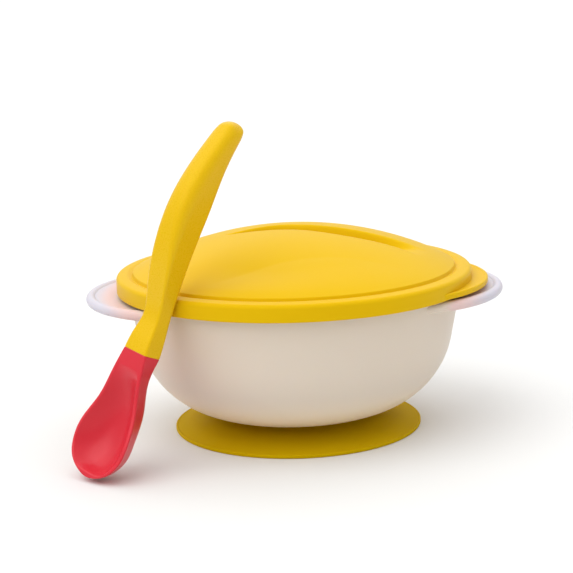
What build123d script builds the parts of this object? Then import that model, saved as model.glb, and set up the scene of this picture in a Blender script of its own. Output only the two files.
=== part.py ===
from build123d import *
import math
import os

os.makedirs("parts", exist_ok=True)

# A baby's suction bowl: a soft suction cup, a bowl with two ears, a snap lid with a lift tab
# and a spoon rest, and a two-part spoon that stands on the table and leans on the lid.
# Millimetres, +Z up, origin at the centre of the suction cup's lip, on the table.

# ---- Suction cup -----------------------------------------------------------
CUP_LIP_RADIUS = 47.8
CUP_LIP_THICKNESS = 1.1
CUP_LIP_LAND = 3.8           # width of the flat ring that seals on the table
CUP_SHOULDER_WIDTH = 7.5     # flat shoulder round the plug, that carries the bowl's foot
CUP_SHOULDER_HEIGHT = 7.2
CUP_HOLLOW_HEIGHT = 4.9      # height of the hollow that holds the vacuum
PLUG_RADIUS = 20.0           # soft plug that is pushed into the bowl's foot
PLUG_HEIGHT = 3.2
PLUG_CLEARANCE = 0.15        # round the plug
PLUG_HEADROOM = 0.3          # above the plug

# ---- Bowl --------------------------------------------------------------------
BOWL_RIM_RADIUS = 64.9       # outside of the wall at the rim
BOWL_DEPTH = 53.0            # from the underside of the foot to the rim
BOWL_WALL = 2.2
BOWL_TURN_RADIUS = 34.0      # round turn from the wall to the bottom
BOWL_WALL_TAPER = 10.8       # degrees from upright
FOOT_WALL = 4.0              # ring that stands round the plug
RIM_BEAD_OUT = 1.1           # snap bead, outside the wall
RIM_BEAD_HEIGHT = 2.0

# ---- Ears, one at each side of the bowl ----------------------------------------
EAR_REACH = 15.1             # tip of the ear beyond the rim
EAR_ARC_RADIUS = 44.0
EAR_FLOOR = 2.4              # thickness inside the ear's beaded edge
EAR_BEAD = 3.9               # thickness and width of the beaded edge
EAR_GAP = 0.6                # from the ear up to the lid's skirt

# ---- Lid ------------------------------------------------------------------------
LID_WALL = 1.7
LID_CLEARANCE = 0.3          # between the bowl's snap bead and the skirt
LID_SKIRT_DROP = 4.9         # skirt's lower edge below the bowl's rim
LID_BAND = 2.0               # height of the flat band above the rim
LID_BAND_FALL = 0.6          # outward slope of the band's top
LID_BAND_WIDTH = 6.5         # from the dome's foot to the outside
LID_BAND_CREST = 1.2         # from the dome's foot to the band's highest line
LID_EDGE_RADIUS = 1.6        # rounded outer edge, which the spoon leans on
DOME_RISE = 15.4             # dome's crown above its foot
TAB_REACH = 6.3              # lift tab beyond the skirt
TAB_ARC_RADIUS = 47.0
TAB_THICKNESS = 2.2
TAB_LIFT = 0.4               # above the skirt's lower edge
TAB_ROOT = 0.5               # depth that is kept inside the skirt's wall
TAB_TURN = -6.0              # degrees round Z

# ---- Spoon rest, a long hollow in the dome ------------------------------------
REST_LENGTH = 84.0
REST_WIDTH = 25.0
REST_DEPTH = 7.5
REST_SINK = 1.0              # middle of the hollow below the crown
REST_TURN = -21.0            # degrees round Z
REST_OFFSET = 8.0            # middle of the hollow behind the dome's crown
REST_SHIFT = 6.0             # and along the hollow, towards the lift tab

# ---- Spoon, in its own frame: length from the tip, side, height ------------------
TIP_LENGTH = 47.5            # soft tip, up to the handle's shoulder
TIP_RIM_HEIGHT = 4.7
TIP_WALL = 1.7
TIP_DEPTH = 9.5              # outside depth of the spoon's bowl
TIP_FULL_HALF_WIDTH = 12.7
HANDLE_LENGTH = 87.5
HANDLE_WIDTH = 14.0
HANDLE_FACET = 8.6           # width of the flat along the top of the handle
HANDLE_HUMP = 10.8           # height of the arched back of the handle
HANDLE_BACK = 0.6            # handle's back below the spoon's axis, where it leans
TANG_LENGTH = 11.0           # tongue of the handle inside the soft tip
TANG_WIDTH = 7.0
TANG_THICKNESS = 2.6
TANG_HEIGHT = 0.9            # middle of the tongue above the spoon's axis
TANG_CLEARANCE = 0.1

# How the spoon leans: where on the lid's edge, how far back, how far sideways.
LEAN_AZIMUTH = -131.3
LEAN_BACK = 20.5
LEAN_SIDE = 11.3
LEAN_GAP = 0.4               # between the handle's back and the lid's edge
TIP_LIFT = 0.2               # between the spoon's tip and the table

# ---- Sizes that follow from the ones above ----------------------------------------
FOOT_Z = CUP_SHOULDER_HEIGHT
RIM_Z = FOOT_Z + BOWL_DEPTH
CUP_SHOULDER_RADIUS = PLUG_RADIUS + CUP_SHOULDER_WIDTH
SOCKET_RADIUS = PLUG_RADIUS + PLUG_CLEARANCE
SOCKET_ROOF_Z = FOOT_Z + PLUG_HEIGHT + PLUG_HEADROOM
FLOOR_Z = SOCKET_ROOF_Z + BOWL_WALL
BEAD_RADIUS = BOWL_RIM_RADIUS + RIM_BEAD_OUT
SKIRT_INNER_RADIUS = BEAD_RADIUS + LID_CLEARANCE
LID_RADIUS = SKIRT_INNER_RADIUS + LID_WALL
SKIRT_Z = RIM_Z - LID_SKIRT_DROP
DOME_FOOT_RADIUS = LID_RADIUS - LID_BAND_WIDTH
DOME_FOOT_Z = RIM_Z + LID_WALL
CROWN_Z = DOME_FOOT_Z + DOME_RISE
EAR_TOP_Z = SKIRT_Z - EAR_GAP
EAR_CENTRE_X = BOWL_RIM_RADIUS + EAR_REACH - EAR_ARC_RADIUS


def revolve_profile(outline):
    """Turn a closed outline in the XZ plane into a body round the Z axis."""
    return revolve(make_face(outline), Axis.Z)


def suction_cup():
    """Thin-lipped cone with a flat shoulder and a plug for the bowl's foot."""
    plug_top = CUP_SHOULDER_HEIGHT + PLUG_HEIGHT
    land_radius = CUP_LIP_RADIUS - CUP_LIP_LAND
    cone_foot_z = CUP_LIP_THICKNESS
    cone_top_z = CUP_SHOULDER_HEIGHT - CUP_LIP_THICKNESS
    roof_radius = (land_radius**2 + CUP_HOLLOW_HEIGHT**2) / (2 * CUP_HOLLOW_HEIGHT)
    side_r = land_radius / 2
    side_z = CUP_HOLLOW_HEIGHT - roof_radius + math.sqrt(roof_radius**2 - side_r**2)
    outline = [
        Line((0, 0, CUP_HOLLOW_HEIGHT), (0, 0, plug_top)),
        Line((0, 0, plug_top), (PLUG_RADIUS, 0, plug_top)),
        Line((PLUG_RADIUS, 0, plug_top), (PLUG_RADIUS, 0, CUP_SHOULDER_HEIGHT)),
        Line((PLUG_RADIUS, 0, CUP_SHOULDER_HEIGHT), (CUP_SHOULDER_RADIUS, 0, CUP_SHOULDER_HEIGHT)),
        Line((CUP_SHOULDER_RADIUS, 0, CUP_SHOULDER_HEIGHT), (CUP_SHOULDER_RADIUS, 0, cone_top_z)),
        Line((CUP_SHOULDER_RADIUS, 0, cone_top_z), (CUP_LIP_RADIUS, 0, cone_foot_z)),
        Line((CUP_LIP_RADIUS, 0, cone_foot_z), (CUP_LIP_RADIUS, 0, 0)),
        Line((CUP_LIP_RADIUS, 0, 0), (land_radius, 0, 0)),
        ThreePointArc((land_radius, 0, 0), (side_r, 0, side_z), (0, 0, CUP_HOLLOW_HEIGHT)),
    ]
    return revolve_profile(outline)


def bowl_wall_point(offset, angle):
    """A point on the bowl's round turn, offset inwards, at an angle above straight down."""
    taper = math.radians(BOWL_WALL_TAPER)
    centre_z = FOOT_Z + BOWL_TURN_RADIUS
    reach = BOWL_TURN_RADIUS + (RIM_Z - centre_z) * math.sin(taper)
    centre_r = BOWL_RIM_RADIUS - reach / math.cos(taper)
    radius = BOWL_TURN_RADIUS - offset
    return (centre_r + radius * math.sin(angle), 0, centre_z - radius * math.cos(angle))


def bowl_profile(offset, bottom_z):
    """Closed outline of the bowl's wall, offset inwards, cut off flat at bottom_z."""
    taper = math.radians(BOWL_WALL_TAPER)
    top = math.pi / 2 - taper
    centre = bowl_wall_point(BOWL_TURN_RADIUS, 0)
    bottom = math.acos(min(1.0, (centre[2] - bottom_z) / (BOWL_TURN_RADIUS - offset)))
    arc_foot = bowl_wall_point(offset, bottom)
    arc_side = bowl_wall_point(offset, (bottom + top) / 2)
    arc_top = bowl_wall_point(offset, top)
    rim = (BOWL_RIM_RADIUS - offset / math.cos(taper), 0, RIM_Z)
    return [
        Line((0, 0, RIM_Z), (0, 0, arc_foot[2])),
        Line((0, 0, arc_foot[2]), arc_foot),
        ThreePointArc(arc_foot, arc_side, arc_top),
        Line(arc_top, rim),
        Line(rim, (0, 0, RIM_Z)),
    ]


def ring(outer_radius, inner_radius, low_z, high_z):
    """Plain flat-ended ring round the Z axis."""
    disc = Circle(outer_radius) - Circle(inner_radius)
    return extrude(Pos(0, 0, low_z) * disc, high_z - low_z)


def ear(side):
    """Half-moon ear with a rounded, raised edge; side is 1 or -1."""
    centre = Pos(side * EAR_CENTRE_X, 0, 0)
    floor_z = EAR_TOP_Z - EAR_BEAD / 2
    edge_radius = EAR_ARC_RADIUS - EAR_BEAD / 2
    plate = centre * Pos(0, 0, floor_z) * Cylinder(edge_radius, EAR_FLOOR)
    edge = centre * Pos(0, 0, floor_z) * Torus(edge_radius, EAR_BEAD / 2)
    return plate + edge


def bowl():
    """Round bowl with a foot ring, a snap bead at the rim and two ears."""
    outer = revolve_profile(bowl_profile(0, FOOT_Z))
    inner = revolve_profile(bowl_profile(BOWL_WALL, FLOOR_Z))
    foot = ring(SOCKET_RADIUS + FOOT_WALL, SOCKET_RADIUS, FOOT_Z, FLOOR_Z)
    socket = Pos(0, 0, FOOT_Z) * extrude(Circle(SOCKET_RADIUS), SOCKET_ROOF_Z - FOOT_Z)
    bead = ring(BEAD_RADIUS, BOWL_RIM_RADIUS - BOWL_WALL, RIM_Z - RIM_BEAD_HEIGHT, RIM_Z)
    return outer + bead + foot + ear(1) + ear(-1) - inner - socket


def dome_profile(offset, foot_radius, foot_z):
    """Closed outline of the spherical dome, offset inwards, standing on foot_z."""
    radius = (DOME_FOOT_RADIUS**2 + DOME_RISE**2) / (2 * DOME_RISE)
    centre_z = CROWN_Z - radius
    crown = (0, 0, CROWN_Z - offset)
    side_r = foot_radius / 2
    side = (side_r, 0, centre_z + math.sqrt((radius - offset) ** 2 - side_r**2))
    foot = (foot_radius, 0, centre_z + math.sqrt((radius - offset) ** 2 - foot_radius**2))
    return [
        ThreePointArc(crown, side, foot),
        Line(foot, (foot_radius, 0, foot_z)),
        Line((foot_radius, 0, foot_z), (0, 0, foot_z)),
        Line((0, 0, foot_z), crown),
    ]


def lid_band():
    """Flat band with a rounded edge and the skirt that snaps over the bowl's bead."""
    crest_r = DOME_FOOT_RADIUS + LID_BAND_CREST
    crest_z = RIM_Z + LID_BAND
    edge_z = crest_z - LID_BAND_FALL
    inner_r = DOME_FOOT_RADIUS - LID_WALL
    points = [
        (inner_r, 0, RIM_Z),
        (SKIRT_INNER_RADIUS, 0, RIM_Z),
        (SKIRT_INNER_RADIUS, 0, SKIRT_Z),
        (LID_RADIUS, 0, SKIRT_Z),
        (LID_RADIUS, 0, edge_z - LID_EDGE_RADIUS),
    ]
    corner = math.sqrt(0.5) * LID_EDGE_RADIUS
    edge_r = LID_RADIUS - LID_EDGE_RADIUS
    edge_mid = (edge_r + corner, 0, edge_z - LID_EDGE_RADIUS + corner)
    outline = [
        Polyline(*points),
        ThreePointArc(points[-1], edge_mid, (edge_r, 0, edge_z)),
        Polyline((edge_r, 0, edge_z), (crest_r, 0, crest_z), (DOME_FOOT_RADIUS, 0, DOME_FOOT_Z)),
        Polyline((DOME_FOOT_RADIUS, 0, DOME_FOOT_Z), (inner_r, 0, DOME_FOOT_Z), points[0]),
    ]
    return revolve_profile(outline)


def lift_tab():
    """Crescent flange low on the skirt, to lift the lid by."""
    centre_x = LID_RADIUS + TAB_REACH - TAB_ARC_RADIUS
    disc = Pos(centre_x, 0, 0) * Circle(TAB_ARC_RADIUS) - Circle(LID_RADIUS - TAB_ROOT)
    keep = Pos(LID_RADIUS, 0, 0) * Rectangle(LID_RADIUS, 2 * TAB_ARC_RADIUS)
    plate = extrude(Pos(0, 0, SKIRT_Z + TAB_LIFT) * (disc & keep), TAB_THICKNESS)
    return Rot(0, 0, TAB_TURN) * plate


def rest_bulb(growth):
    """Egg-shaped body of the spoon rest, grown by the lid's wall on its underside."""
    size = (REST_LENGTH / 2 + growth, REST_WIDTH / 2 + growth, REST_DEPTH + growth)
    egg = scale(Sphere(1), by=size)
    return Rot(0, 0, REST_TURN) * Pos(REST_SHIFT, REST_OFFSET, CROWN_Z - REST_SINK) * egg


def lid():
    """Domed snap lid with its spoon rest, band, skirt and lift tab."""
    dome = revolve_profile(dome_profile(0, DOME_FOOT_RADIUS, RIM_Z))
    cavity_radius = DOME_FOOT_RADIUS - LID_WALL
    cavity = revolve_profile(dome_profile(LID_WALL, cavity_radius, RIM_Z))
    shell = dome - cavity + (dome & rest_bulb(LID_WALL)) - rest_bulb(0)
    return shell + lid_band() + lift_tab()


def spoon_plane(length):
    """Section plane across the spoon, at a length from its tip."""
    return Plane(origin=(length, 0, 0), x_dir=(0, 1, 0), z_dir=(1, 0, 0))


def handle_section(length, base, top, width, facet, corner):
    """Rounded four-sided section: a wide base below and the narrower facet on top."""
    points = [(-width / 2, base), (width / 2, base), (facet / 2, top), (-facet / 2, top)]
    face = make_face(Polyline(*points, close=True))
    return spoon_plane(length) * fillet(face.vertices(), corner)


def tang(clearance):
    """Flat tongue that joins the handle to the soft tip."""
    size = (TANG_LENGTH + clearance, TANG_WIDTH + 2 * clearance, TANG_THICKNESS + 2 * clearance)
    middle = TIP_LENGTH - size[0] / 2
    return Pos(middle, 0, TANG_HEIGHT) * Box(*size)


def spoon_handle():
    """Arched handle: share of its length, base, share of hump, shares of both widths."""
    stations = [
        (0.00, -1.6, 0.39, 0.94, 1.09, 1.6),
        (0.12, -1.0, 0.30, 0.90, 1.00, 1.6),
        (0.24, -0.6, 0.41, 0.92, 0.98, 1.9),
        (0.37, -0.2, 0.69, 0.98, 1.00, 2.4),
        (0.52, 0.3, 0.93, 1.00, 1.00, 2.8),
        (0.66, 1.2, 1.00, 1.00, 0.98, 2.8),
        (0.79, 1.0, 0.80, 0.94, 0.94, 2.6),
        (0.90, -0.4, 0.42, 0.84, 0.88, 2.0),
        (0.97, -0.8, 0.24, 0.62, 0.60, 1.2),
        (1.00, -0.1, 0.10, 0.30, 0.30, 0.4),
    ]
    sections = []
    for share, base, hump, wide, flat, corner in stations:
        length = TIP_LENGTH + share * HANDLE_LENGTH
        section = handle_section(
            length, base, hump * HANDLE_HUMP, wide * HANDLE_WIDTH, flat * HANDLE_FACET, corner
        )
        sections.append(section)
    return loft(sections) + tang(0)


def tip_loft(stations, inset):
    """Lower half of a loft through ellipses: length, share of width, share of depth."""
    sections = []
    for length, wide, deep in stations:
        half_width = wide * TIP_FULL_HALF_WIDTH - inset
        depth = deep * TIP_DEPTH - inset
        sections.append(spoon_plane(length) * Pos(0, TIP_RIM_HEIGHT) * Ellipse(half_width, depth))
    reach = 2 * TIP_LENGTH
    below = Pos(reach / 2, 0, TIP_RIM_HEIGHT - reach / 2) * Box(2 * reach, reach, reach)
    return loft(sections) & below


def spoon_tip():
    """Soft spoon bowl with a thick neck that takes the handle's tang."""
    outer = tip_loft(
        [
            (0.0, 0.16, 0.10),
            (1.5, 0.44, 0.38),
            (4.5, 0.72, 0.66),
            (9.5, 0.93, 0.88),
            (17.0, 1.00, 1.00),
            (26.5, 0.86, 0.94),
            (35.0, 0.64, 0.78),
            (TIP_LENGTH, 0.52, 0.65),
        ],
        0,
    )
    inner = tip_loft(
        [
            (2.0, 0.44, 0.30),
            (5.5, 0.74, 0.62),
            (10.0, 0.93, 0.88),
            (17.0, 1.00, 1.00),
            (26.0, 0.86, 0.90),
            (33.0, 0.64, 0.52),
            (38.0, 0.40, 0.22),
        ],
        TIP_WALL,
    )
    return outer - inner - tang(TANG_CLEARANCE)


def spoon_location(tip):
    """Where the spoon stands: its back on the lid's rounded edge, its tip on the table."""
    azimuth = math.radians(LEAN_AZIMUTH)
    back = math.radians(LEAN_BACK)
    side = math.radians(LEAN_SIDE)
    outward = Vector(math.cos(azimuth), math.sin(azimuth), 0)
    along_edge = Vector(-math.sin(azimuth), math.cos(azimuth), 0)
    up = Vector(0, 0, 1)
    face = outward * math.cos(back) + up * math.sin(back)
    rise = up * math.cos(back) - outward * math.sin(back)
    length_dir = rise * math.cos(side) + along_edge * math.sin(side)
    edge_z = RIM_Z + LID_BAND - LID_BAND_FALL - LID_EDGE_RADIUS
    edge = outward * (LID_RADIUS - LID_EDGE_RADIUS) + up * edge_z
    touch = edge + face * (LID_EDGE_RADIUS + LEAN_GAP + HANDLE_BACK)
    leaning = Plane(origin=(0, 0, 0), x_dir=length_dir, z_dir=face).location
    lowest = (leaning * tip).bounding_box().min.Z
    run = (touch.Z + lowest - TIP_LIFT) / length_dir.Z
    return Plane(origin=touch - length_dir * run, x_dir=length_dir, z_dir=face).location


soft_tip = spoon_tip()
standing = spoon_location(soft_tip)
nodes = {
    "suction_cup": suction_cup(),
    "bowl": bowl(),
    "lid": lid(),
    "spoon_handle": standing * spoon_handle(),
    "spoon_tip": standing * soft_tip,
}
for name, solid in nodes.items():
    export_step(solid, f"parts/{name}.step")
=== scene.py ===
# %% [markdown]
# # A baby's suction bowl, with its lid and spoon
# The set is four things that come apart in the hand: a soft suction cup, a bowl with two ears,
# a domed snap lid and a spoon with a hard handle and a soft tip.
# The construction model fixes where each piece is and how large it is. This script gives each
# one its looks: a finely modelled skin, a material and the light of a small studio.

# %% Load the construction model
import math

import bmesh
import bpy
import numpy as np
from mathutils import Matrix, Vector


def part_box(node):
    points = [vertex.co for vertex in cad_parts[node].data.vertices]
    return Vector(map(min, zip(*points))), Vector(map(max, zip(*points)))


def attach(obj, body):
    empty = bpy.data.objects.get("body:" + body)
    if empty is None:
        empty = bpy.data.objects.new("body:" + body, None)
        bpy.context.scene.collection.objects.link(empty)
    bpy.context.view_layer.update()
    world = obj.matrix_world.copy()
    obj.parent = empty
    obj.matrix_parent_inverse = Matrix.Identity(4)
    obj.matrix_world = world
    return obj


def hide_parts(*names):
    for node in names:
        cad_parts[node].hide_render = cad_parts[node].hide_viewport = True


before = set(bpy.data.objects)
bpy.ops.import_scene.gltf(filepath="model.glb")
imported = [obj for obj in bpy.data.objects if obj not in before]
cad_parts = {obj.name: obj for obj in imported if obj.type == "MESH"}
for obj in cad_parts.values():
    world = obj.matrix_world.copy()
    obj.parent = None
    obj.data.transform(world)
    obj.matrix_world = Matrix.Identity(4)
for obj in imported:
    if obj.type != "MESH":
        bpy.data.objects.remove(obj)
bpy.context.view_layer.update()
print("pieces to dress:", ", ".join(sorted(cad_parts)))

# %% [markdown]
# Blender works in metres, and a maker of tableware works in millimetres. One factor turns one
# into the other, so every size below can be read in millimetres.

# %% Sizes that the construction model gives, in millimetres
MM = 0.001


def box_mm(node):
    """Lowest and highest corner of a construction piece, in millimetres."""
    low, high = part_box(node)
    return low / MM, high / MM


cup_low, cup_high = box_mm("suction_cup")
bowl_low, bowl_high = box_mm("bowl")
lid_low, lid_high = box_mm("lid")
LIP_RADIUS = cup_high.x
FOOT_Z = bowl_low.z
RIM_Z = bowl_high.z
BEAD_RADIUS = bowl_high.y
LID_RADIUS = -lid_low.x
SKIRT_Z = lid_low.z
print(f"lip {LIP_RADIUS:.1f}, foot {FOOT_Z:.1f}, rim {RIM_Z:.1f}, lid {LID_RADIUS:.1f} mm")

# %% [markdown]
# ## The camera
# A product picture is taken from a little above the table, with a lens long enough to keep the
# circles of the bowl calm. The camera comes first, so that each piece can be judged through it.

# %% The camera
CAMERA_DISTANCE = 640.0
CAMERA_ELEVATION = 11.70
CAMERA_ROLL = -1.86
CAMERA_AIM = Vector((-2.96, 0.0, 54.3))
CAMERA_LENS = 104.35


def add_camera():
    """Camera on a circle round the aim point, rolled a little about its own view."""
    elevation = math.radians(CAMERA_ELEVATION)
    roll = math.radians(CAMERA_ROLL)
    back = Vector((0, -math.cos(elevation), math.sin(elevation)))
    up = Vector((0, math.sin(elevation), math.cos(elevation)))
    right = Vector((1, 0, 0))
    x_axis = right * math.cos(roll) + up * math.sin(roll)
    y_axis = up * math.cos(roll) - right * math.sin(roll)
    data = bpy.data.cameras.new("studio_camera")
    data.lens = CAMERA_LENS
    camera = bpy.data.objects.new("studio_camera", data)
    bpy.context.scene.collection.objects.link(camera)
    turn = Matrix((x_axis, y_axis, back)).transposed().to_4x4()
    camera.matrix_world = Matrix.Translation((CAMERA_AIM + back * CAMERA_DISTANCE) * MM) @ turn
    return camera


bpy.context.scene.camera = add_camera()
print("camera at", [round(c, 3) for c in bpy.context.scene.camera.matrix_world.translation])

# %% [markdown]
# ## Colour and node helpers
# Designers pick colours as sRGB hex values, while the renderer adds light linearly. One function
# turns the first into the second. Another adds a node, sets it up and links its inputs.

# %% Colour and node helpers


def linear(hex_colour):
    """An sRGB hex colour as the linear RGBA that a socket takes."""
    channels = [int(hex_colour[i : i + 2], 16) / 255 for i in (1, 3, 5)]
    low = [c / 12.92 for c in channels]
    high = [((c + 0.055) / 1.055) ** 2.4 for c in channels]
    return (*[a if c <= 0.04045 else b for c, a, b in zip(channels, low, high)], 1.0)


def add_node(tree, kind, settings=None, **links):
    """Add a node: settings are its properties, links its inputs, as sockets or plain values."""
    node = tree.nodes.new(kind)
    for name, value in (settings or {}).items():
        setattr(node, name, value)
    for name, value in links.items():
        socket = node.inputs[name.replace("_", " ")]
        if isinstance(value, bpy.types.NodeSocket):
            tree.links.new(value, socket)
        else:
            socket.default_value = value
    return node


print("yellow in linear light:", [round(c, 3) for c in linear("#fed233")])

# %% [markdown]
# ## Table and light
# A pale table top runs far past the view, so it reads as a plain floor. The light is that of a
# white tent with its lamps above: bright overhead and dimmer towards the table, so upward faces
# are brighter than upright ones. One broad lamp from the upper left lays a soft shade on the
# right.

# %% Table and light
FLOOR_HALF = 12.0
FLOOR_COLOUR = "#e4e4e3"
SKY_AT_TABLE = 0.38
SKY_OVERHEAD = 1.75
SKY_FRONT_SHARE = 0.62
SKY_BACK_SHARE = 1.15
KEY_STRENGTH = 1.1
KEY_ANGLE = 60.0
KEY_TILT = (-26.0, -30.0)


def add_floor():
    """A wide flat table top at the height that the cup's lip rests on."""
    corners = [(-1, -1), (1, -1), (1, 1), (-1, 1)]
    mesh = bpy.data.meshes.new("floor")
    mesh.from_pydata([(x * FLOOR_HALF, y * FLOOR_HALF, 0) for x, y in corners], [], [(0, 1, 2, 3)])
    floor = bpy.data.objects.new("floor", mesh)
    bpy.context.scene.collection.objects.link(floor)
    material = bpy.data.materials.new("matt_white_table")
    material.use_nodes = True
    surface = material.node_tree.nodes["Principled BSDF"]
    surface.inputs["Base Color"].default_value = linear(FLOOR_COLOUR)
    surface.inputs["Roughness"].default_value = 0.9
    surface.inputs["Specular IOR Level"].default_value = 0.1
    mesh.materials.append(material)
    return floor


def add_key_light():
    """A broad soft lamp, far away, from the upper left and the front."""
    data = bpy.data.lights.new("key_light", "SUN")
    data.energy = KEY_STRENGTH
    data.angle = math.radians(KEY_ANGLE)
    lamp = bpy.data.objects.new("key_light", data)
    lamp.rotation_euler = (math.radians(-KEY_TILT[0]), math.radians(KEY_TILT[1]), 0)
    bpy.context.scene.collection.objects.link(lamp)
    return lamp


def add_sky():
    """White light from all round: stronger from above, weaker from the front."""
    world = bpy.data.worlds.new("white_tent")
    world.use_nodes = True
    tree = world.node_tree
    direction = add_node(tree, "ShaderNodeTexCoord").outputs["Generated"]
    parts = add_node(tree, "ShaderNodeSeparateXYZ", Vector=direction)
    strength = add_node(
        tree,
        "ShaderNodeMapRange",
        Value=parts.outputs["Z"],
        To_Min=SKY_AT_TABLE,
        To_Max=SKY_OVERHEAD,
    )
    share = add_node(
        tree,
        "ShaderNodeMapRange",
        Value=parts.outputs["Y"],
        From_Min=-1.0,
        To_Min=SKY_FRONT_SHARE,
        To_Max=SKY_BACK_SHARE,
    )
    shaded = add_node(tree, "ShaderNodeMath", {"operation": "MULTIPLY"})
    tree.links.new(strength.outputs["Result"], shaded.inputs[0])
    tree.links.new(share.outputs["Result"], shaded.inputs[1])
    background = tree.nodes["Background"]
    background.inputs["Color"].default_value = (1.0, 1.0, 1.0, 1.0)
    tree.links.new(shaded.outputs["Value"], background.inputs["Strength"])
    bpy.context.scene.world = world


add_floor()
add_key_light()
add_sky()
bpy.context.scene.view_settings.view_transform = "Standard"
print("sky from", SKY_AT_TABLE, "to", SKY_OVERHEAD, "and key", KEY_STRENGTH)

# %% [markdown]
# ## Turned shapes
# The cup, the bowl, the lid and even the ears start as round pieces: one outline, carried round
# an axis, as on a lathe. The outline is drawn from a few corners, each with its own rounding
# radius, because a moulded piece has no sharp corner. Long runs are divided, so that a flat face
# next to a small rounding still shades flat.

# %% Draw an outline from rounded corners
ARC_STEP = math.radians(12)
ARC_CHORD = 0.8


def corner_arc(before, corner, after, radius):
    """Points of the round that replaces a corner."""
    inward = (before - corner).normalized()
    outward = (after - corner).normalized()
    half = inward.angle(outward) / 2
    room = min((before - corner).length, (after - corner).length)
    reach = min(radius / math.tan(half), 0.995 * room)
    radius = reach * math.tan(half)
    centre = corner + (inward + outward).normalized() * (radius / math.sin(half))
    first = corner + inward * reach - centre
    last = corner + outward * reach - centre
    sweep = first.angle(last)
    count = max(3, math.ceil(sweep / ARC_STEP), math.ceil(sweep * radius / ARC_CHORD))
    points = []
    for i in range(count + 1):
        share = i / count
        blend = first * math.sin((1 - share) * sweep) + last * math.sin(share * sweep)
        points.append(centre + blend / math.sin(sweep))
    return points


def rounded_line(corners, step):
    """A line of (radius, height, rounding) corners as points no further apart than step."""
    places = [Vector((r, z)) for r, z, _ in corners]
    points = [places[0]]
    for i in range(1, len(corners) - 1):
        rounding = corners[i][2]
        if rounding:
            points += corner_arc(points[-1], places[i], places[i + 1], rounding)
        else:
            points.append(places[i])
    points.append(places[-1])
    dense = [points[0]]
    for a, b in zip(points, points[1:]):
        pieces = max(1, math.ceil((b - a).length / step))
        dense += [a.lerp(b, k / pieces) for k in range(1, pieces + 1)]
    return dense


print("a rounded corner takes", len(corner_arc(Vector((0, 0)), Vector((9, 0)), Vector((9, 9)), 2)))

# %% [markdown]
# The lathe itself is a Geometry Nodes tree, because the shape follows a rule. The outline becomes
# a curve and is swept round a tiny guide circle, whose radius is first taken off the outline.
# Points that meet on the axis are welded, which closes the poles.

# %% The lathe, as Geometry Nodes
GUIDE_RADIUS = 1.0
WELD_DISTANCE = 0.002


def lathe_tree():
    """Node tree that turns the outline it is given round the Z axis."""
    tree = bpy.data.node_groups.new("lathe", "GeometryNodeTree")
    tree.is_modifier = True
    inputs = [
        ("Outline", "NodeSocketGeometry"),
        ("Steps Around", "NodeSocketInt"),
        ("Guide Radius", "NodeSocketFloat"),
        ("Weld Distance", "NodeSocketFloat"),
        ("Material", "NodeSocketMaterial"),
    ]
    for name, kind in inputs:
        tree.interface.new_socket(name, in_out="INPUT", socket_type=kind)
    tree.interface.new_socket("Turned Piece", in_out="OUTPUT", socket_type="NodeSocketGeometry")
    given = add_node(tree, "NodeGroupInput").outputs
    curve = add_node(tree, "GeometryNodeMeshToCurve", Mesh=given["Outline"])
    inward = add_node(tree, "ShaderNodeMath", {"operation": "MULTIPLY"})
    tree.links.new(given["Guide Radius"], inward.inputs[0])
    inward.inputs[1].default_value = -1.0
    shift = add_node(tree, "ShaderNodeCombineXYZ", X=inward.outputs["Value"])
    moved = add_node(
        tree,
        "GeometryNodeTransform",
        Geometry=curve.outputs["Curve"],
        Translation=shift.outputs["Vector"],
        Scale=(1.0, -1.0, 1.0),
    )
    guide = add_node(
        tree,
        "GeometryNodeCurvePrimitiveCircle",
        Resolution=given["Steps Around"],
        Radius=given["Guide Radius"],
    )
    swept = add_node(
        tree,
        "GeometryNodeCurveToMesh",
        Curve=guide.outputs["Curve"],
        Profile_Curve=moved.outputs["Geometry"],
    )
    welded = add_node(
        tree,
        "GeometryNodeMergeByDistance",
        Geometry=swept.outputs["Mesh"],
        Distance=given["Weld Distance"],
    )
    smooth = add_node(tree, "GeometryNodeSetShadeSmooth", Geometry=welded.outputs["Geometry"])
    real = add_node(tree, "GeometryNodeRealizeInstances", Geometry=smooth.outputs["Geometry"])
    painted = add_node(
        tree,
        "GeometryNodeSetMaterial",
        Geometry=real.outputs["Geometry"],
        Material=given["Material"],
    )
    add_node(tree, "NodeGroupOutput", Turned_Piece=painted.outputs["Geometry"])
    return tree


LATHE = lathe_tree()
print("lathe inputs:", [item.name for item in LATHE.interface.items_tree])

# %% Run the lathe and check the result


def plain_mesh(piece):
    """Turn what a piece's modifiers make into its own plain mesh, and drop the modifiers."""
    graph = bpy.context.evaluated_depsgraph_get()
    made = bpy.data.meshes.new_from_object(piece.evaluated_get(graph))
    piece.modifiers.clear()
    piece.data = made
    made.name = piece.name
    return piece


def volume_of(piece):
    """Signed volume in cubic centimetres: positive when the faces point outwards."""
    shape = bmesh.new()
    shape.from_mesh(piece.data)
    volume = shape.calc_volume(signed=True) * 1e6
    shape.free()
    return volume


def point_outwards(piece):
    """Turn every face over if the closed skin is inside out."""
    if volume_of(piece) < 0:
        piece.data.flip_normals()
    return piece


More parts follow.
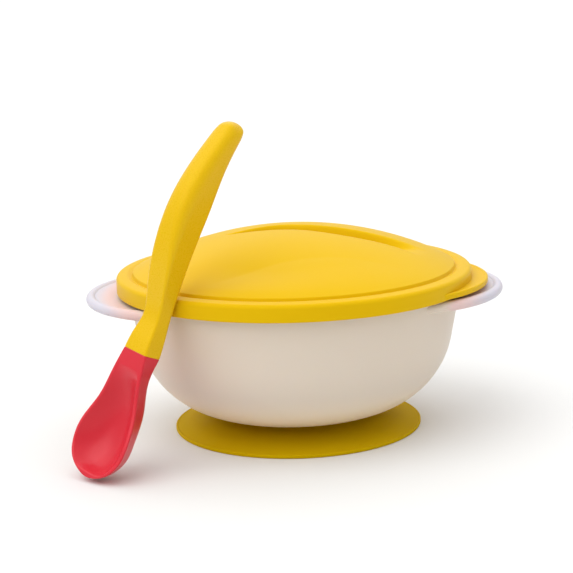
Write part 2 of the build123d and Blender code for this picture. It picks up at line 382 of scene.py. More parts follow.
def turn(name, outline, steps, material):
    """A solid turned from an outline of (radius, height) points in millimetres."""
    edges = [(i, i + 1) for i in range(len(outline) - 1)]
    mesh = bpy.data.meshes.new(name)
    mesh.from_pydata([(p[0] * MM, p[1] * MM, 0) for p in outline], edges, [])
    piece = bpy.data.objects.new(name, mesh)
    bpy.context.scene.collection.objects.link(piece)
    modifier = piece.modifiers.new("lathe", "NODES")
    modifier.node_group = LATHE
    given = {
        "Steps Around": steps,
        "Guide Radius": GUIDE_RADIUS * MM,
        "Weld Distance": WELD_DISTANCE * MM,
        "Material": material,
    }
    for socket in LATHE.interface.items_tree:
        if socket.name in given:
            modifier[socket.identifier] = given[socket.name]
    return point_outwards(plain_mesh(piece))


def report(piece):
    """Print what a finished piece is made of."""
    box = np.array([v.co for v in piece.data.vertices]) / MM
    size = np.round(box.max(0) - box.min(0), 1).tolist()
    print(f"{piece.name}: {len(piece.data.polygons)} faces, {size} mm, {volume_of(piece):.1f} cm3")


print("guide circle", GUIDE_RADIUS, "mm, points weld within", WELD_DISTANCE, "mm")

# %% [markdown]
# ## Materials
# Everything here is injection moulded. The lid and the spoon's handle are polypropylene, a hard,
# slightly waxy plastic: light enters a little way and comes out again, which softens every shade.
# The mould is spark-eroded, so the surface has a fine even texture and a broad, soft highlight.
# The suction cup and the spoon's tip are thermoplastic rubber: duller, softer, with more light
# inside. Pigment that sits at the very surface tints the sheen too. One function builds them all,
# from the colours, a roughness and the texture's grain.

# %% A moulded finish
NOISE_DETAIL = 2.0
CLOUD_SIZE = 38.0
GLOSS_SPREAD = 0.05
PLASTIC_IOR = 1.49
GLOW_REACH = (1.0, 0.6, 0.35)


def moulded_finish(name, colour, shade, sheen, level, roughness, grain, relief, glow, glow_depth):
    """Moulded plastic or rubber. Grain, relief and glow depth are in mm.

    Colour and shade are the two tones of a faint mottle. Level and sheen are the strength and
    the colour of the surface's reflection.
    """
    material = bpy.data.materials.new(name)
    material.use_nodes = True
    tree = material.node_tree
    surface = tree.nodes["Principled BSDF"]
    place = add_node(tree, "ShaderNodeTexCoord").outputs["Object"]
    cloud = add_node(
        tree, "ShaderNodeTexNoise", Vector=place, Scale=1 / (CLOUD_SIZE * MM), Detail=NOISE_DETAIL
    )
    mottle = add_node(tree, "ShaderNodeMix", {"data_type": "RGBA"})
    tree.links.new(cloud.outputs["Fac"], mottle.inputs["Factor"])
    mottle.inputs["A"].default_value = linear(colour)
    mottle.inputs["B"].default_value = linear(shade)
    tree.links.new(mottle.outputs["Result"], surface.inputs["Base Color"])
    texture = add_node(
        tree, "ShaderNodeTexNoise", Vector=place, Scale=1 / (grain * MM), Detail=NOISE_DETAIL
    )
    gloss = add_node(
        tree,
        "ShaderNodeMapRange",
        Value=texture.outputs["Fac"],
        To_Min=roughness - GLOSS_SPREAD,
        To_Max=roughness + GLOSS_SPREAD,
    )
    tree.links.new(gloss.outputs["Result"], surface.inputs["Roughness"])
    bump = add_node(
        tree, "ShaderNodeBump", Height=texture.outputs["Fac"], Distance=relief * MM, Strength=1.0
    )
    tree.links.new(bump.outputs["Normal"], surface.inputs["Normal"])
    surface.inputs["Subsurface Weight"].default_value = glow
    surface.inputs["Subsurface Radius"].default_value = GLOW_REACH
    surface.inputs["Subsurface Scale"].default_value = glow_depth * MM
    surface.inputs["IOR"].default_value = PLASTIC_IOR
    surface.inputs["Specular IOR Level"].default_value = level
    surface.inputs["Specular Tint"].default_value = linear(sheen)
    return material


print("mottle", CLOUD_SIZE, "mm across, index of refraction", PLASTIC_IOR)

# %% The set's own finishes
# Yellow polypropylene, spark-eroded mould: satin, with a broad highlight and a slightly waxy depth.
LID_YELLOW = moulded_finish(
    "satin_yellow_polypropylene",
    colour="#deb40e",
    shade="#dab00c",
    sheen="#ffd24a",
    level=0.12,
    roughness=0.42,
    grain=0.55,
    relief=0.006,
    glow=0.10,
    glow_depth=1.2,
)
# The handle comes from the same granulate, from a smoother mould.
HANDLE_YELLOW = moulded_finish(
    "smooth_yellow_polypropylene",
    colour="#e2b714",
    shade="#deb312",
    sheen="#ffe07a",
    level=0.35,
    roughness=0.28,
    grain=0.45,
    relief=0.004,
    glow=0.10,
    glow_depth=1.2,
)
# Ivory polypropylene, milky. Painted reflections are added to this finish further down, warm below
# and pink by the ears, with painted shade on the ears.
IVORY = moulded_finish(
    "satin_ivory_polypropylene",
    colour="#dfd2c2",
    shade="#dbcebe",
    sheen="#ffffff",
    level=0.15,
    roughness=0.38,
    grain=0.5,
    relief=0.004,
    glow=0.15,
    glow_depth=1.5,
)
# Thermoplastic rubber of the cup, in the lid's yellow made darker and more olive: painted shade for
# the bowl's shadow over it.
CUP_RUBBER = moulded_finish(
    "yellow_rubber_with_painted_shade",
    colour="#c8a604",
    shade="#c3a003",
    sheen="#ffc83c",
    level=0.05,
    roughness=0.65,
    grain=0.7,
    relief=0.01,
    glow=0.12,
    glow_depth=1.5,
)
# Softer rubber of the spoon's tip: coral red that glows at thin edges.
TIP_RUBBER = moulded_finish(
    "coral_thermoplastic_rubber",
    colour="#d22e3c",
    shade="#ce2a38",
    sheen="#ffc8c8",
    level=0.5,
    roughness=0.30,
    grain=0.6,
    relief=0.006,
    glow=0.2,
    glow_depth=1.6,
)
print("finishes:", [m.name for m in bpy.data.materials])

# %% [markdown]
# Three tints are painted into the ivory finish. The ears get a greyer, cooler white, painted shade
# that holds back the light on their upper faces, and next to the wall a faint painted pink
# reflection. The underside gets a painted warm reflection of the light bounced up from the table.
# Each tint follows a mask: the distance from the bowl's axis, or the height above the table.

# %% Painted shade on the ears, painted reflections on the ears and the underside
# painted shade: a greyer, cooler white that holds back the light the ears' upper faces catch
EAR_PAINTED_SHADE = "#ccc8d2"
# painted reflection: pink light in the shaded gap between the ears and the lid
EAR_PAINTED_PINK_REFLECTION = "#e3adc0"
# painted reflection: a warm cream for light bounced up from the table onto the bowl's underside
UNDERSIDE_PAINTED_BOUNCE = "#f4e1c5"
WHOLE_PLAN = (1.0, 1.0, 0.0)
HEIGHT_ONLY = (0.0, 0.0, 1.0)


def distance_mask(material, axes, start, end, share):
    """A value that changes from 0 to a share between two distances in mm along the axes."""
    tree = material.node_tree
    place = add_node(tree, "ShaderNodeTexCoord").outputs["Object"]
    kept = add_node(tree, "ShaderNodeVectorMath", {"operation": "MULTIPLY"})
    tree.links.new(place, kept.inputs[0])
    kept.inputs[1].default_value = axes
    distance = add_node(tree, "ShaderNodeVectorMath", {"operation": "LENGTH"})
    tree.links.new(kept.outputs["Vector"], distance.inputs[0])
    mask = add_node(
        tree,
        "ShaderNodeMapRange",
        {"interpolation_type": "SMOOTHSTEP"},
        Value=distance.outputs["Value"],
        From_Min=start * MM,
        From_Max=end * MM,
        To_Max=share,
    )
    return mask.outputs["Result"]


def tint(material, mask, colour):
    """Mix a colour into a finish where its mask rises."""
    tree = material.node_tree
    base = tree.nodes["Principled BSDF"].inputs["Base Color"]
    mix = add_node(tree, "ShaderNodeMix", {"data_type": "RGBA"}, B=linear(colour))
    tree.links.new(mask, mix.inputs["Factor"])
    tree.links.new(base.links[0].from_socket, mix.inputs["A"])
    tree.links.new(mix.outputs["Result"], base)


# Painted reflection of the table's light, rising towards the bottom of the bowl.
tint(IVORY, distance_mask(IVORY, HEIGHT_ONLY, 26.0, 10.0, 0.9), UNDERSIDE_PAINTED_BOUNCE)
# Painted pink reflection on the ears next to the wall, under the lid's edge.
tint(IVORY, distance_mask(IVORY, WHOLE_PLAN, 66.5, 69.5, 0.4), EAR_PAINTED_PINK_REFLECTION)
# Painted shade on the ears, out to their beaded edge.
tint(IVORY, distance_mask(IVORY, WHOLE_PLAN, 70.5, 76.5, 1.0), EAR_PAINTED_SHADE)
print("nodes in the ivory finish:", len(IVORY.node_tree.nodes))

# %% [markdown]
# ## Suction cup
# A shallow cone of soft rubber with a flat shoulder. Its lip thins out towards the edge, so that
# it follows the table, and two fine sealing ridges run round under it. A plug in the middle goes
# up into the bowl's foot. The cone sags a little between shoulder and lip, as soft rubber does.

# %% The suction cup
PLUG_RADIUS = 20.0
SHOULDER_RADIUS = 27.5
SHOULDER_EDGE = 1.1
LIP_THICKNESS = 1.1
LAND_WIDTH = 3.8
HOLLOW_HEIGHT = 4.9
CUP_STEP = 1.5
CUP_TURNS = 216


def dome_line(foot_radius, foot_z, crown_z, step):
    """Points of a circular arc from its crown on the axis down to its foot."""
    rise = crown_z - foot_z
    radius = (foot_radius**2 + rise**2) / (2 * rise)
    reach = math.asin(foot_radius / radius)
    count = math.ceil(reach * radius / step)
    turns = [reach * i / count for i in range(count + 1)]
    return [Vector((radius * math.sin(t), crown_z - radius * (1 - math.cos(t)))) for t in turns]


def suction_cup():
    """The cup, turned from an outline that starts on top of its plug."""
    land = LIP_RADIUS - LAND_WIDTH
    top = [
        (0, cup_high.z, 0),
        (PLUG_RADIUS, cup_high.z, 0.8),
        (PLUG_RADIUS, FOOT_Z, 0.3),
        (SHOULDER_RADIUS, FOOT_Z, 0.5),
        (SHOULDER_RADIUS, FOOT_Z - SHOULDER_EDGE, 1.6),
        (LIP_RADIUS - 10.5, 3.1, 30.0),
        (LIP_RADIUS - 0.9, LIP_THICKNESS + 0.1, 0.4),
        (LIP_RADIUS - 0.5, LIP_THICKNESS + 0.25, 0.3),
        (LIP_RADIUS, LIP_THICKNESS + 0.1, 0.3),
        (LIP_RADIUS, 0, 0.45),
        (LIP_RADIUS - 1.3, 0, 0.2),
        (LIP_RADIUS - 1.6, 0.3, 0.2),
        (LIP_RADIUS - 1.9, 0, 0.2),
        (LIP_RADIUS - 2.6, 0, 0.2),
        (LIP_RADIUS - 2.9, 0.3, 0.2),
        (LIP_RADIUS - 3.2, 0, 0.2),
        (land, 0, 0),
    ]
    roof = dome_line(land, 0, HOLLOW_HEIGHT, CUP_STEP)
    outline = rounded_line(top, CUP_STEP) + roof[-2::-1]
    return turn("suction_cup_rubber", outline, CUP_TURNS, CUP_RUBBER)


cup = suction_cup()
report(cup)

# %% [markdown]
# ## Bowl
# The bowl's wall leans out by some eleven degrees and turns into the bottom on a wide round.
# Below the rim a small snap bead runs round outside, which the lid's skirt grips. Its two ears
# are half-moons: round plates with a beaded edge, cut off where they meet the wall.

# %% The bowl's shell
WALL = 2.2
WALL_TAPER = math.radians(10.8)
TURN_RADIUS = 34.0
BEAD_OUT = 1.1
BEAD_HEIGHT = 2.0
SOCKET_RADIUS = 20.15
SOCKET_DEPTH = 3.5
BOWL_STEP = 1.3
BOWL_TURNS = 264
INNER_TURN_RADIUS = TURN_RADIUS - 2.6 * WALL


def wall_radius(z, depth=0.0):
    """Radius of the bowl's wall at a height, at some depth inside its outer face."""
    rim_radius = BEAD_RADIUS - BEAD_OUT
    return rim_radius - (RIM_Z - z) * math.tan(WALL_TAPER) - depth / math.cos(WALL_TAPER)


def bowl_shell():
    """Wall, bottom, plug socket and snap bead, as one turned piece."""
    socket_z = FOOT_Z + SOCKET_DEPTH
    floor_z = socket_z + WALL
    bead_z = RIM_Z - BEAD_HEIGHT
    outline = rounded_line(
        [
            (0, socket_z, 0),
            (SOCKET_RADIUS, socket_z, 0.5),
            (SOCKET_RADIUS, FOOT_Z, 0.4),
            (wall_radius(FOOT_Z), FOOT_Z, TURN_RADIUS),
            (wall_radius(bead_z), bead_z, 0.4),
            (BEAD_RADIUS, bead_z + 0.5, 0.5),
            (BEAD_RADIUS, RIM_Z, 0.5),
            (wall_radius(RIM_Z, WALL), RIM_Z, 0.7),
            (wall_radius(floor_z, WALL), floor_z, INNER_TURN_RADIUS),
            (0, floor_z, 0),
        ],
        BOWL_STEP,
    )
    return turn("bowl_ivory", outline, BOWL_TURNS, IVORY)


bowl = bowl_shell()
report(bowl)

# %% Cut and join solids


def combine(piece, tool, operation):
    """Join a tool to a piece, or cut it away, and delete the tool."""
    modifier = piece.modifiers.new("combine", "BOOLEAN")
    modifier.operation = operation
    modifier.solver = "EXACT"
    modifier.object = tool
    plain_mesh(piece)
    bpy.data.objects.remove(tool)
    return piece


def cylinder(radius, low_z, high_z, material):
    """A plain turned cylinder, to cut with."""
    outline = [(0, low_z), (radius, low_z), (radius, high_z), (0, high_z)]
    return turn("cutter", outline, BOWL_TURNS, material)


def move(piece, x, y, z, degrees=0.0):
    """Move a piece's mesh by millimetres, then turn it about the Z axis."""
    shift = Matrix.Translation(Vector((x, y, z)) * MM)
    piece.data.transform(Matrix.Rotation(math.radians(degrees), 4, "Z") @ shift)
    return piece


print("solids turned so far:", cup.name, "and", bowl.name)

# %% The bowl's ears
EAR_RADIUS = 44.0
EAR_EDGE = 3.9
EAR_FLOOR = 2.4
EAR_GAP = 0.6
EAR_CUT = 1.1
EAR_TURNS = 240
EDGE_STEPS = 18
EAR_SLOPE = 4.0
CORE_HALF = 9.0


def ear_outline():
    """Half a section through the ear's round plate: a flat floor and a beaded edge."""
    bead = EAR_EDGE / 2
    centre = EAR_RADIUS - bead
    opening = math.pi - math.asin(EAR_FLOOR / 2 / bead)
    angles = [opening * (1 - 2 * i / EDGE_STEPS) for i in range(EDGE_STEPS + 1)]
    edge = [(centre + bead * math.cos(a), bead * math.sin(a)) for a in angles]
    half = EAR_FLOOR / 2
    inner = centre - EAR_SLOPE
    return [(0, half), (inner, half), *edge, (inner, -half), (0, -half)]


def ear(side):
    """One ear: the round plate less the part inside the bowl's wall."""
    middle_z = SKIRT_Z - EAR_GAP - EAR_EDGE / 2
    plate = turn("ear", ear_outline(), EAR_TURNS, IVORY)
    move(plate, side * (bowl_high.x - EAR_RADIUS), 0, middle_z)
    radius = wall_radius(middle_z, EAR_CUT)
    core = cylinder(radius, middle_z - CORE_HALF, middle_z + CORE_HALF, IVORY)
    return combine(plate, core, "DIFFERENCE")


def smooth_shading(piece, degrees):
    """Smooth shading, with a crease where two faces meet more sharply than this."""
    piece.data.polygons.foreach_set("use_smooth", [True] * len(piece.data.polygons))
    piece.data.set_sharp_from_angle(angle=math.radians(degrees))
    return piece


for side in (1, -1):
    combine(bowl, ear(side), "UNION")
smooth_shading(bowl, 35)
report(bowl)

# %% [markdown]
# ## Lid
# The lid is a shallow dome with a flat band round it and a skirt that snaps over the bowl's bead.
# A groove across the crown is where the spoon is laid: its near wall drops from a crisp crest,
# and its far wall has a rounded upper edge and runs away from the near one, so the groove widens
# to the right. The dome is turned with closely spaced rings, and then every ring's points are
# lowered by the groove's depth, on the outside and the inside alike, so the wall stays closed.

# %% The lid's shell
LID_WALL = 1.7
LID_CLEARANCE = 0.3
BAND_HEIGHT = 2.0
BAND_WIDTH = 6.5
BAND_CREST = 2.4
GROOVE_WIDTH = 0.5
GROOVE_Z = RIM_Z + 1.2
DOME_FOOT_Z = GROOVE_Z + 1.4
CROWN_Z = 77.6
DOME_STEP = 0.55
INNER_STEP = 1.5
INNER_DROP = 1.7
LID_TURNS = 340
BAND_STEP = 0.9


def lid_shell():
    """Dome, band and skirt, turned as one piece from the crown outwards."""
    foot = LID_RADIUS - BAND_WIDTH
    inner_foot = foot - LID_WALL
    skirt_inner = BEAD_RADIUS + LID_CLEARANCE
    band = [
        (foot, DOME_FOOT_Z, 0.5),
        (foot + GROOVE_WIDTH, GROOVE_Z, 0.25),
        (foot + BAND_CREST, RIM_Z + BAND_HEIGHT, 1.2),
        (LID_RADIUS, RIM_Z + 1.4, 1.6),
        (LID_RADIUS, SKIRT_Z, 0.5),
        (skirt_inner, SKIRT_Z, 0.4),
        (skirt_inner, RIM_Z, 0.4),
        (inner_foot, RIM_Z, 0.3),
    ]
    outer = dome_line(foot, DOME_FOOT_Z, CROWN_Z, DOME_STEP)
    inner = dome_line(inner_foot, DOME_FOOT_Z - INNER_DROP, CROWN_Z - LID_WALL, INNER_STEP)
    start = (*outer[-2], 0)
    end = (*inner[-1], 0)
    outline = outer[:-2] + rounded_line([start, *band, end], BAND_STEP) + inner[-2::-1]
    return turn("lid_yellow", outline, LID_TURNS, LID_YELLOW)


lid = lid_shell()
report(lid)

# %% The spoon rest in the dome
REST_TURN = math.radians(-21)
REST_DEPTH = 6.5
REST_MIDDLE = 4.0
REST_NEAR = -5.0
REST_NEAR_WALL = 2.4
REST_NEAR_LEFT = -4.2
REST_NEAR_LEFT_RUN = (-4.0, 28.0)
REST_NEAR_RIGHT = 6.0
REST_NEAR_RIGHT_RUN = (12.0, 46.0)
REST_FAR = 6.6
REST_SPREAD = 0.16
REST_FAR_WALL = 4.0
REST_PINCH = 13.0
REST_PINCH_RUN = (8.0, 36.0)
REST_RIGHT = (24.0, 47.0)
BROW_PLACE = (20.0, -33.5)
BROW_BEND = 13.5
BROW_WIDTH = 25.0
BROW_FALLS = (2.2, 0.7)
BROW_FALL_RUN = (-25.0, 30.0)
BROW_FADE = (42.0, 60.0)
PRESS_EDGE = 1.0
PRESS_FULL = 6.0
PRESS_FLOOR = 1.2


def ease(value, low, high):
    """Smooth rise from 0 at low to 1 at high."""
    share = np.clip((value - low) / (high - low), 0, 1)
    return share * share * (3 - 2 * share)


def rest_depth(x, y):
    """How far the spoon rest sinks the dome at places given in millimetres."""
    along = x * math.cos(REST_TURN) + y * math.sin(REST_TURN) - REST_MIDDLE
    across = y * math.cos(REST_TURN) - x * math.sin(REST_TURN)
    near = REST_NEAR + REST_NEAR_LEFT * ease(-along, *REST_NEAR_LEFT_RUN)
    near = near + REST_NEAR_RIGHT * ease(along, *REST_NEAR_RIGHT_RUN)
    far = REST_FAR + REST_SPREAD * along - REST_PINCH * ease(-along, *REST_PINCH_RUN)
    near_share = np.clip((across - near) / REST_NEAR_WALL, 0, 1)
    near_wall = 1 - (1 - near_share) ** 2
    far_wall = ease(far - across, 0, REST_FAR_WALL)
    return REST_DEPTH * near_wall * far_wall * (1 - ease(along, *REST_RIGHT))


def brow_depth(x, y):
    """How far the dome's front is set back below a soft brow, more so on the left."""
    line = BROW_PLACE[1] - ((x - BROW_PLACE[0]) / BROW_BEND) ** 2
    share = np.clip(1 - (y - line) / BROW_WIDTH, 0, 1) ** 2
    fall = BROW_FALLS[0] + (BROW_FALLS[1] - BROW_FALLS[0]) * ease(x, *BROW_FALL_RUN)
    return fall * share * (1 - ease(np.hypot(x, y), *BROW_FADE))


def press_rest(piece):
    """Lower the dome's points by the depth of rest and brow, outside and inside."""
    places = np.array([v.co for v in piece.data.vertices]) / MM
    radius = np.hypot(places[:, 0], places[:, 1])
    foot = LID_RADIUS - BAND_WIDTH
    on_dome = ease(foot - radius, PRESS_EDGE, PRESS_FULL)
    on_dome = on_dome * (places[:, 2] > DOME_FOOT_Z - PRESS_FLOOR)
    depth = rest_depth(places[:, 0], places[:, 1]) + brow_depth(places[:, 0], places[:, 1])
    places[:, 2] -= on_dome * depth
    piece.data.vertices.foreach_set("co", (places * MM).ravel())
    piece.data.update()
    return piece


press_rest(lid)
report(lid)

# %% [markdown]
# The lid is lifted by a crescent-shaped tab on its right side. It is a round plate with rounded
# edges and a fine raised line along its rim, cut off inside the skirt.

# %% The lift tab
TAB_RADIUS = 47.0
TAB_THICKNESS = 2.2
TAB_LIFT = 0.4
TAB_DEGREES = -6.0
TAB_RIM_WIDTH = 1.1
TAB_RIM_RISE = 0.3
TAB_CUT = 0.8
TAB_TURNS = 240
TAB_STEP = 2.5


def lift_tab():
    """The crescent that a finger lifts."""
    floor = TAB_THICKNESS - TAB_RIM_RISE
    outline = rounded_line(
        [
            (0, floor, 0),
            (TAB_RADIUS - TAB_RIM_WIDTH - 0.5, floor, 0.3),
            (TAB_RADIUS - TAB_RIM_WIDTH, TAB_THICKNESS, 0.3),
            (TAB_RADIUS, TAB_THICKNESS, 0.5),
            (TAB_RADIUS, 0, 0.5),
            (0, 0, 0),
        ],
        TAB_STEP,
    )
    plate = turn("tab", outline, TAB_TURNS, LID_YELLOW)
    move(plate, lid_high.x - TAB_RADIUS, 0, SKIRT_Z + TAB_LIFT)
    core = cylinder(LID_RADIUS - TAB_CUT, SKIRT_Z - CORE_HALF, RIM_Z + CORE_HALF, LID_YELLOW)
    return move(combine(plate, core, "DIFFERENCE"), 0, 0, 0, TAB_DEGREES)


combine(lid, lift_tab(), "UNION")
smooth_shading(lid, 40)
report(lid)

# %% [markdown]
# ## Spoon
# The spoon is drawn in its own frame: along it from the tip, across it, and up from its axis.
# Every section is a four-sided shape with rounded corners, wide below and narrower on top. Sizes
# are given only where the shape changes, at the joint, the waist or the hump, and a
# natural spline, which bends as little as it can, fills in between.

# %% Curves through stations


def smooth_curve(stations, values, places):
    """Values at places, on the natural cubic spline through the stations."""
    x = np.array(stations, float)
    y = np.array(values, float)
    step = np.diff(x)
    slope = np.diff(y) / step
    count = len(x)
    system = np.eye(count)
    turn_rate = np.zeros(count)
    for i in range(1, count - 1):
        system[i, i - 1 : i + 2] = step[i - 1], 2 * (step[i - 1] + step[i]), step[i]
        turn_rate[i] = 6 * (slope[i] - slope[i - 1])
    bend = np.linalg.solve(system, turn_rate)
    i = np.clip(np.searchsorted(x, places) - 1, 0, count - 2)
    t = (places - x[i]) / step[i]
    line = y[i] * (1 - t) + y[i + 1] * t
    near = ((1 - t) ** 3 - (1 - t)) * bend[i]
    far = (t**3 - t) * bend[i + 1]
    return line + (near + far) * step[i] ** 2 / 6


def smooth_root(stations, values, places):
    """The spline through the values' squares, as lengths again."""
    return np.sqrt(np.maximum(smooth_curve(stations, np.square(values), places), 1e-4))


print("halfway:", smooth_curve([0, 1, 2], [0, 1, 1], np.array([0.5, 1.5])).round(3).tolist())

# %% [markdown]
# A section's corner is a short parabola between two points on its sides. Each section has the
# same number of points, so neighbouring sections join into a clean band of four-sided faces.

# %% One section, and a skin through many
CORNER_POINTS = 10
SIDE_POINTS = 8
BASE_POINTS = 12
TOP_POINTS = 44


def section(base_half, base_z, top_half, top_z, base_corner, top_corner):
    """Points of one section, (across, up), anticlockwise from the left of the base."""
    corners = np.array(
        [(-base_half, base_z), (base_half, base_z), (top_half, top_z), (-top_half, top_z)]
    )
    cuts = [base_corner, base_corner, top_corner, top_corner]
    counts = [BASE_POINTS, SIDE_POINTS, TOP_POINTS, SIDE_POINTS]
    starts, ends = [], []
    for i in range(4):
        before = corners[i - 1] - corners[i]
        after = corners[(i + 1) % 4] - corners[i]
        starts.append(corners[i] + before * min(0.49, cuts[i] / max(np.linalg.norm(before), 1e-9)))
        ends.append(corners[i] + after * min(0.49, cuts[i] / max(np.linalg.norm(after), 1e-9)))
    points = []
    for i in range(4):
        for t in np.linspace(0, 1, CORNER_POINTS):
            curve = starts[i] * (1 - t) ** 2 + corners[i] * 2 * t * (1 - t) + ends[i] * t * t
            points.append(curve)
        following = starts[(i + 1) % 4]
        for t in (1 - np.cos(np.linspace(0, math.pi, counts[i] + 2)[1:-1])) / 2:
            points.append(ends[i] * (1 - t) + following * t)
    return np.array(points)


def skin(name, loops, material):
    """A closed skin through loops of points, with a lid on each end."""
    count = len(loops[0])
    faces = []
    for row in range(len(loops) - 1):
        for k in range(count):
            a = row * count + k
            b = row * count + (k + 1) % count
            faces.append((a, b, b + count, a + count))
    faces.append(tuple(range(count))[::-1])
    faces.append(tuple((len(loops) - 1) * count + k for k in range(count)))
    mesh = bpy.data.meshes.new(name)
    mesh.from_pydata((np.concatenate(loops) * MM).tolist(), [], faces)
    mesh.materials.append(material)
    shape = bmesh.new()
    shape.from_mesh(mesh)
    bmesh.ops.remove_doubles(shape, verts=shape.verts, dist=WELD_DISTANCE * MM)
    bmesh.ops.dissolve_degenerate(shape, edges=shape.edges, dist=WELD_DISTANCE * MM)
    shape.to_mesh(mesh)
    shape.free()
    piece = bpy.data.objects.new(name, mesh)
    bpy.context.scene.collection.objects.link(piece)
    return point_outwards(piece)


print("points round a section:", len(section(6, 0, 5, 7, 2, 1)))

# %% [markdown]
# The spoon stands on its tip and leans back on the lid's rounded edge, a little sideways. Its
# frame follows from where on the edge it touches and how far it leans.

# %% How the spoon leans
LEAN_AZIMUTH = math.radians(-131.3)
LEAN_BACK = math.radians(20.5)
LEAN_SIDE = math.radians(11.3)
LEAN_GAP = 1.0
EDGE_RADIUS = 1.6
EDGE_Z = RIM_Z - 0.2
AXIS_FOOT_Z = -0.94


def spoon_frame():
    """Origin at the tip, with unit vectors along, across and up from the spoon."""
    outward = Vector((math.cos(LEAN_AZIMUTH), math.sin(LEAN_AZIMUTH), 0))
    sideways = Vector((-math.sin(LEAN_AZIMUTH), math.cos(LEAN_AZIMUTH), 0))
    up = Vector((0, 0, 1))
    face = outward * math.cos(LEAN_BACK) + up * math.sin(LEAN_BACK)
    rise = up * math.cos(LEAN_BACK) - outward * math.sin(LEAN_BACK)
    along = rise * math.cos(LEAN_SIDE) + sideways * math.sin(LEAN_SIDE)
    touch = outward * (LID_RADIUS - EDGE_RADIUS) + up * EDGE_Z + face * (EDGE_RADIUS + LEAN_GAP)
    origin = touch - along * ((touch.z - AXIS_FOOT_Z) / along.z)
    return origin, along, face.cross(along), face


def in_place(lengths, sections):
    """Move sections from the spoon's own frame to where the spoon stands."""
    origin, along, across, up = (np.array(v) for v in spoon_frame())
    loops = []
    for length, points in zip(lengths, sections):
        loops.append(origin + length * along + points[:, :1] * across + points[:, 1:] * up)
    return loops


print("spoon tip stands at", [round(c, 1) for c in spoon_frame()[0]])

# %% [markdown]
# The handle arches: it is thin where it leaves the tip, rises to a hump two thirds of the way up
# and thins out to a round end. The crease along its top is crisp below and melts away above. At
# the joint both pieces draw in by a hair, which leaves the fine line that overmoulding leaves.

# %% The spoon's handle
JOINT = 47.5
SPOON_LENGTH = 135.0
END_ROUND = 6.2
END_THIN = 2.6
JOINT_EASE = 0.35
JOINT_DEPTH = 0.14
JOINT_BASE_WIDTH = 13.0
JOINT_BASE_Z = -0.5
JOINT_TOP_WIDTH = 11.5
JOINT_TOP_Z = 7.0
JOINT_BASE_CORNER = 1.5
JOINT_TOP_CORNER = 1.0
# From joint to end. Each row: length from the tip, width and height of the base, width and
# height of the top, and how far the corners of base and top are cut.
HANDLE_SECTIONS = [
    (
        JOINT,
        JOINT_BASE_WIDTH,
        JOINT_BASE_Z,
        JOINT_TOP_WIDTH,
        JOINT_TOP_Z,
        JOINT_BASE_CORNER,
        JOINT_TOP_CORNER,
    ),
    (54.0, 12.0, -0.5, 10.0, 6.5, 1.5, 1.0),
    (60.0, 11.0, -0.5, 8.5, 5.5, 2.0, 1.0),
    (70.0, 10.0, -0.5, 9.5, 7.5, 2.5, 1.0),
    (88.0, 9.5, -1.0, 11.5, 12.0, 3.5, 3.0),
    (103.0, 9.5, -2.0, 11.5, 13.0, 4.0, 5.0),
    (118.0, 9.5, -2.5, 10.5, 9.5, 4.0, 5.0),
    (SPOON_LENGTH, 10.0, -5.0, 8.5, 2.5, 3.0, 4.0),
]
HANDLE_ROWS = 190


def round_off(distance, reach):
    """Share of full size at a distance from a round end of that reach."""
    share = np.clip(1 - distance / reach, 0, 1)
    return np.sqrt(1 - share**2)


def draw_in(distance):
    """How far a section draws in next to the joint."""
    return JOINT_DEPTH * np.clip(1 - distance / JOINT_EASE, 0, 1) ** 2


def end_spacing(low, high, count):
    """Places from low to high, crowded towards both ends."""
    return low + (high - low) * (1 - np.cos(np.linspace(0, math.pi, count))) / 2


def spoon_handle():
    """The arched handle."""
    lengths = end_spacing(JOINT, SPOON_LENGTH, HANDLE_ROWS)
    stations, *sizes = zip(*HANDLE_SECTIONS)
    rows = [smooth_curve(stations, values, lengths) for values in sizes]
    sections = []
    for length, base, base_z, top, top_z, base_corner, top_corner in zip(lengths, *rows):
        wide = round_off(SPOON_LENGTH - length, END_ROUND)
        thick = round_off(SPOON_LENGTH - length, END_THIN)
        middle = (base_z + top_z) / 2
        half = (top_z - base_z) / 2 * thick
        inset = draw_in(length - JOINT)
        sections.append(
            section(
                base / 2 * wide - inset,
                middle - half + inset,
                top / 2 * wide - inset,
                middle + half - inset,
                base_corner * wide,
                top_corner * wide,
            )
        )
    return skin("spoon_handle_yellow", in_place(lengths, sections), HANDLE_YELLOW)


handle = smooth_shading(spoon_handle(), 50)
report(handle)

# %% [markdown]
# The tip starts flush with the handle and widens into a small shovel-shaped bowl with a thick
# soft rim. Its hollow is pressed into the top of each section. Widths and depths are interpolated
# as squares, which gives the nose a true round instead of a point.

# %% The spoon's tip
# From nose to joint. Each row: length from the tip, half the width of the rim and of the base,
# thickness, height of the rim, and how far the corners of the base are cut.
TIP_SECTIONS = [
    (0.0, 0.1, 0.1, 5.0, 9.0, 0.1),
    (4.0, 10.0, 5.0, 8.5, 9.0, 3.5),
    (9.0, 13.0, 7.0, 10.5, 8.5, 5.0),
    (16.0, 13.5, 7.5, 11.0, 8.0, 6.0),
    (27.0, 10.5, 6.5, 10.0, 6.5, 5.0),
    (37.0, 8.0, 5.5, 8.0, 7.0, 3.0),
    (
        JOINT,
        JOINT_TOP_WIDTH / 2,
        JOINT_BASE_WIDTH / 2,
        JOINT_TOP_Z - JOINT_BASE_Z,
        JOINT_TOP_Z,
        JOINT_BASE_CORNER,
    ),
]
TIP_ROWS = 130
TIP_LIP = 1.5
HOLLOW_STATIONS = [0, 1.6, 3, 6, 15, 25, 36, 41.5, 47.5]
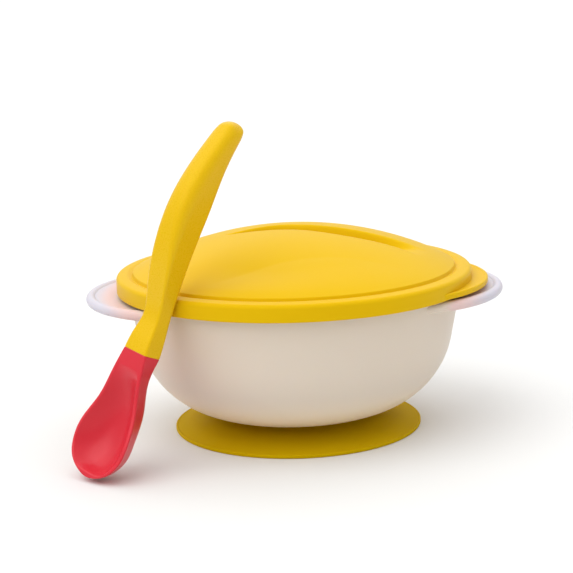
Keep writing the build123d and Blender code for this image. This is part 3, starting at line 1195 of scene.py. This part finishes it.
HOLLOW_DEPTHS = [0, 0, 2.6, 5.6, 8.0, 6.6, 2.8, 0, 0]
HOLLOW_POWER = 2.4
RIM_ROOM = 0.02


def hollow(points, depth, top_half, top_z):
    """Press the spoon's hollow into the top of a section."""
    reach = max(top_half - TIP_LIP, 0.01)
    on_top = points[:, 1] > top_z - RIM_ROOM
    share = np.clip(np.abs(points[:, 0]) / reach, 0, 1)
    points[:, 1] -= np.where(on_top, depth * (1 - share**HOLLOW_POWER), 0.0)
    return points


def spoon_tip():
    """The soft tip, from its nose to the joint."""
    lengths = end_spacing(0, JOINT, TIP_ROWS)
    stations, *sizes = zip(*TIP_SECTIONS)
    top_half, base_half, thickness = (smooth_root(stations, v, lengths) for v in sizes[:3])
    top_z, base_corner = (smooth_curve(stations, v, lengths) for v in sizes[3:])
    depth = np.maximum(smooth_curve(HOLLOW_STATIONS, HOLLOW_DEPTHS, lengths), 0)
    sections = []
    for i, length in enumerate(lengths):
        inset = draw_in(JOINT - length)
        top_corner = min(JOINT_TOP_CORNER, top_half[i] / 3)
        points = section(
            base_half[i] - inset,
            top_z[i] - thickness[i] + inset,
            top_half[i] - inset,
            top_z[i] - inset,
            base_corner[i],
            top_corner,
        )
        sections.append(hollow(points, depth[i], top_half[i], top_z[i] - inset))
    return skin("spoon_tip_coral", in_place(lengths, sections), TIP_RUBBER)


tip = smooth_shading(spoon_tip(), 50)
report(tip)
print("lowest point of the tip", round(min(v.co.z for v in tip.data.vertices) / MM, 2), "mm")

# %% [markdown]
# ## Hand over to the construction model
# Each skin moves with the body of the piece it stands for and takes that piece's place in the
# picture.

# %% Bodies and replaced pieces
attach(cup, "base")
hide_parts("suction_cup")
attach(bowl, "bowl_body")
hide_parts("bowl")
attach(lid, "lid_body")
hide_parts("lid")
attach(handle, "spoon")
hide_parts("spoon_handle")
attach(tip, "spoon")
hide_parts("spoon_tip")
print("handed over:", ", ".join(sorted(piece.name for piece in (cup, bowl, lid, handle, tip))))
